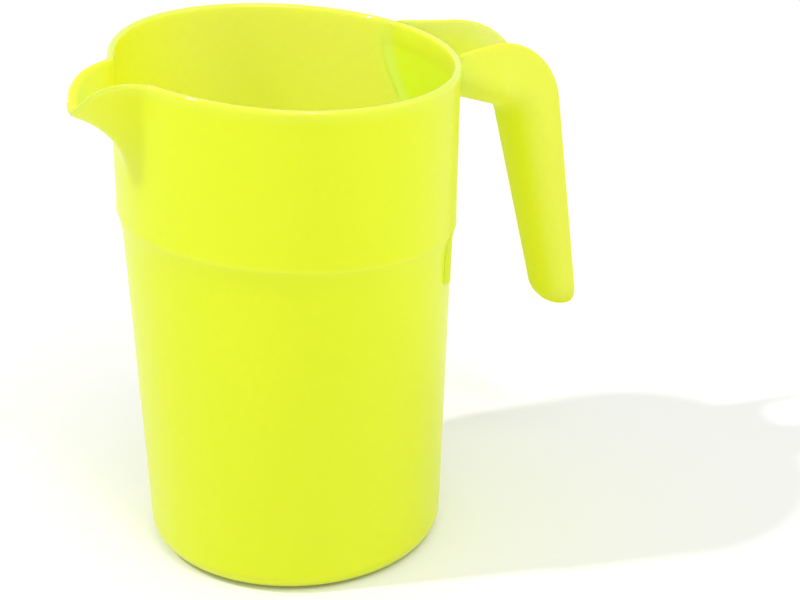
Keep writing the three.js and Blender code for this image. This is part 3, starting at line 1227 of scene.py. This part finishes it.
@dataclass
class StackingRib(Moulding):
    """An upright rib under the ledge, evenly proud of the wall up to the ledge's slanted face."""

    body: PitcherBody
    side: Side
    angle: float = 46.0
    width: float = 2.0
    proud: float = 1.8
    height: float = 12.4
    # The rib is painted with little light through, so that it shows darker than the wall.
    through: float = 0.13
    fillet: float = 0.5
    end_rounding: float = 0.8
    end_margin: float = 2.0
    embedding: float = 0.9
    skin_depth: float = 0.02
    across_steps: int = 26
    foot_rows: int = 12
    middle_rows: int = 8
    top_rows: int = 20

    def __post_init__(self) -> None:
        """Works out where the rib ends below."""
        self.bottom = self.body.ledge_bottom - self.height

    def lift(self, across: float, height: float) -> float:
        """How far the rib stands off the wall.

        Args:
            across: Distance from the rib's middle line.
            height: Height on the axis.

        Returns:
            The lift, which is nothing at the foot of the rib's sides and lower end.
        """
        room = self.body.lower_radius(height) + self.proud - self.body.radius(height)
        half = self.width / 2
        side = 1 - smooth_step(half - self.fillet / 2, half + self.fillet / 2, abs(across))
        end = smooth_step(self.bottom, self.bottom + self.end_rounding, height)
        return max(0.0, room) * side * end

    def point(self, across: float, height: float, lift: float) -> SkinPoint:
        """A point of the rib.

        Args:
            across: Distance from the rib's middle line.
            height: Height on the axis.
            lift: How far it stands off the body's wall.

        Returns:
            The point.
        """
        theta = self.side.value * math.radians(self.angle) + across / self.body.neck_radius
        place = self.body.wall_place(theta, height, -lift)
        return SkinPoint(place, self.through, self.body.outer_glow, cover=1.0)

    def build(self) -> bpy.types.Object:
        """Builds the rib's skin.

        Returns:
            The finished piece.
        """
        reach = self.width / 2 + self.fillet
        spots = spaced(-reach, reach, self.across_steps)
        low, high = self.bottom + self.end_margin, self.body.ledge_bottom - self.end_margin
        heights = spaced(self.bottom - self.fillet, low, self.foot_rows)[:-1]
        heights += spaced(low, high, self.middle_rows)[:-1]
        heights += spaced(high, self.body.ledge_top, self.top_rows)
        skin = ClosedSkin()
        rows = []
        for height in heights:
            lifts = [self.lift(across, height) - self.skin_depth for across in spots]
            front = [self.point(across, height, lift) for across, lift in zip(spots, lifts)]
            back = [self.point(across, height, -self.embedding) for across in reversed(spots)]
            rows.append(skin.add_row(front + back))
        skin.bridge_all(rows)
        for row in (rows[0], rows[-1]):
            skin.bridge(row[: len(spots)], row[len(spots) :][::-1], closed=False)
        side = self.side.name.lower()
        return self.settle(skin, f"rib_{side}", (f"stacking_rib_{side}",))


@dataclass
class Lamp:
    """A soft lamp that hangs round the pitcher and shines at its foot.

    The level is what it adds to a white sheet that faces it.
    """

    name: str
    heading: float
    elevation: float
    width: float
    height: float
    level: float
    distance: float = 3000.0

    def hang(self) -> None:
        """Hangs the lamp in the scene."""
        rise = math.radians(self.elevation)
        way = round_point(math.radians(self.heading), math.cos(rise), math.sin(rise))
        lamp = bpy.data.lights.new(self.name, "AREA")
        lamp.shape = "ELLIPSE"
        lamp.size = self.width * MM
        lamp.size_y = self.height * MM
        lamp.energy = self.level * (math.pi * self.distance * MM) ** 2
        hung = placed(self.name, lamp)
        hung.location = way * self.distance * MM
        hung.rotation_euler = way.to_track_quat("Z", "Y").to_euler()


@dataclass
class Studio:
    """The pale floor, the even white surroundings, the soft lamps and the camera."""

    image_width: int = 800
    sensor_width: float = 36.0
    focal_pixels: float = 2509.71
    camera_place: Place = (-372.59, -724.31, 475.10)
    camera_target: Place = (34.19, -19.74, 90.24)
    camera_roll: float = -0.517
    clip_start: float = 10.0
    floor_half_side: float = 4000.0
    floor_cells: int = 8
    floor_tint: Colour = (0.78, 0.78, 0.78)
    floor_seen_tint: Colour = (0.93, 0.93, 0.93)
    floor_roughness: float = 0.8
    fill_level: float = 0.68
    lamps: tuple[Lamp, ...] = (
        Lamp("key_lamp", 165.0, 55.0, 130.0, 130.0, 0.34),
        Lamp("broad_lamp", -95.0, 62.0, 1800.0, 1800.0, 0.22),
        Lamp("front_lamp", -91.0, 55.0, 500.0, 120.0, 0.10),
        Lamp("right_lamp", -30.0, 25.0, 1800.0, 1800.0, 0.06),
    )

    def build_floor(self) -> None:
        """Lays the floor, a broad pale sheet of paper."""
        work, cells = bmesh.new(), self.floor_cells
        size = self.floor_half_side * MM
        bmesh.ops.create_grid(work, x_segments=cells, y_segments=cells, size=size)
        mesh = bpy.data.meshes.new("studio_floor")
        work.to_mesh(mesh)
        work.free()
        material = bpy.data.materials.new("studio_paper")
        board = NodeBoard(material)
        shader = board.nodes["Principled BSDF"]
        tint = board.mix(board.seen_rays(), self.floor_tint, self.floor_seen_tint)
        board.links.new(tint, shader.inputs["Base Color"])
        shader.inputs["Roughness"].default_value = self.floor_roughness
        shader.inputs["Specular IOR Level"].default_value = 0.0
        mesh.materials.append(material)
        floor = placed("studio_floor", mesh)
        LOG.info("studio_floor: laid")

    def build_world(self) -> None:
        """Makes the surroundings: white to the eye and in reflections, a little lower as light."""
        world = bpy.data.worlds.new("studio_surroundings")
        board = NodeBoard(world)
        background = board.nodes["Background"]
        background.inputs["Color"].default_value = (1.0, 1.0, 1.0, 1.0)
        strength = board.ranged(board.seen_rays(), self.fill_level, 1.0)
        board.links.new(strength, background.inputs["Strength"])
        bpy.context.scene.world = world

    def build_camera(self) -> None:
        """Sets the camera at the photograph's place and angle."""
        place, target = Vector(self.camera_place), Vector(self.camera_target)
        forward = (target - place).normalized()
        right = forward.cross(Vector((0, 0, 1))).normalized()
        up = right.cross(forward)
        roll = math.radians(self.camera_roll)
        rolled_right = right * math.cos(roll) + up * math.sin(roll)
        rolled_up = up * math.cos(roll) - right * math.sin(roll)
        lens = bpy.data.cameras.new("photo_camera")
        lens.sensor_fit = "HORIZONTAL"
        lens.sensor_width = self.sensor_width
        lens.lens = self.focal_pixels * self.sensor_width / self.image_width
        lens.clip_start = self.clip_start * MM
        camera = placed("photo_camera", lens)
        axes = Matrix((rolled_right, rolled_up, -forward)).transposed().to_4x4()
        camera.matrix_world = Matrix.Translation(place * MM) @ axes
        bpy.context.scene.camera = camera

    def build(self) -> None:
        """Builds the whole studio with plain view settings."""
        bpy.context.scene.view_settings.view_transform = "Standard"
        self.build_floor()
        self.build_world()
        for lamp in self.lamps:
            lamp.hang()
        self.build_camera()


def main() -> None:
    """Builds the studio and the pitcher's pieces in order."""
    logging.basicConfig(level=logging.INFO, format="%(name)s %(message)s")
    Studio().build()
    finish = PlasticFinish()
    plastic = finish.make()
    body = PitcherBody(plastic, finish.slot)
    body.build()
    HookHandle(plastic, finish.slot, body).build()
    for side in Side:
        StackingRib(plastic, finish.slot, body, side).build()


if __name__ == "__main__":
    main()
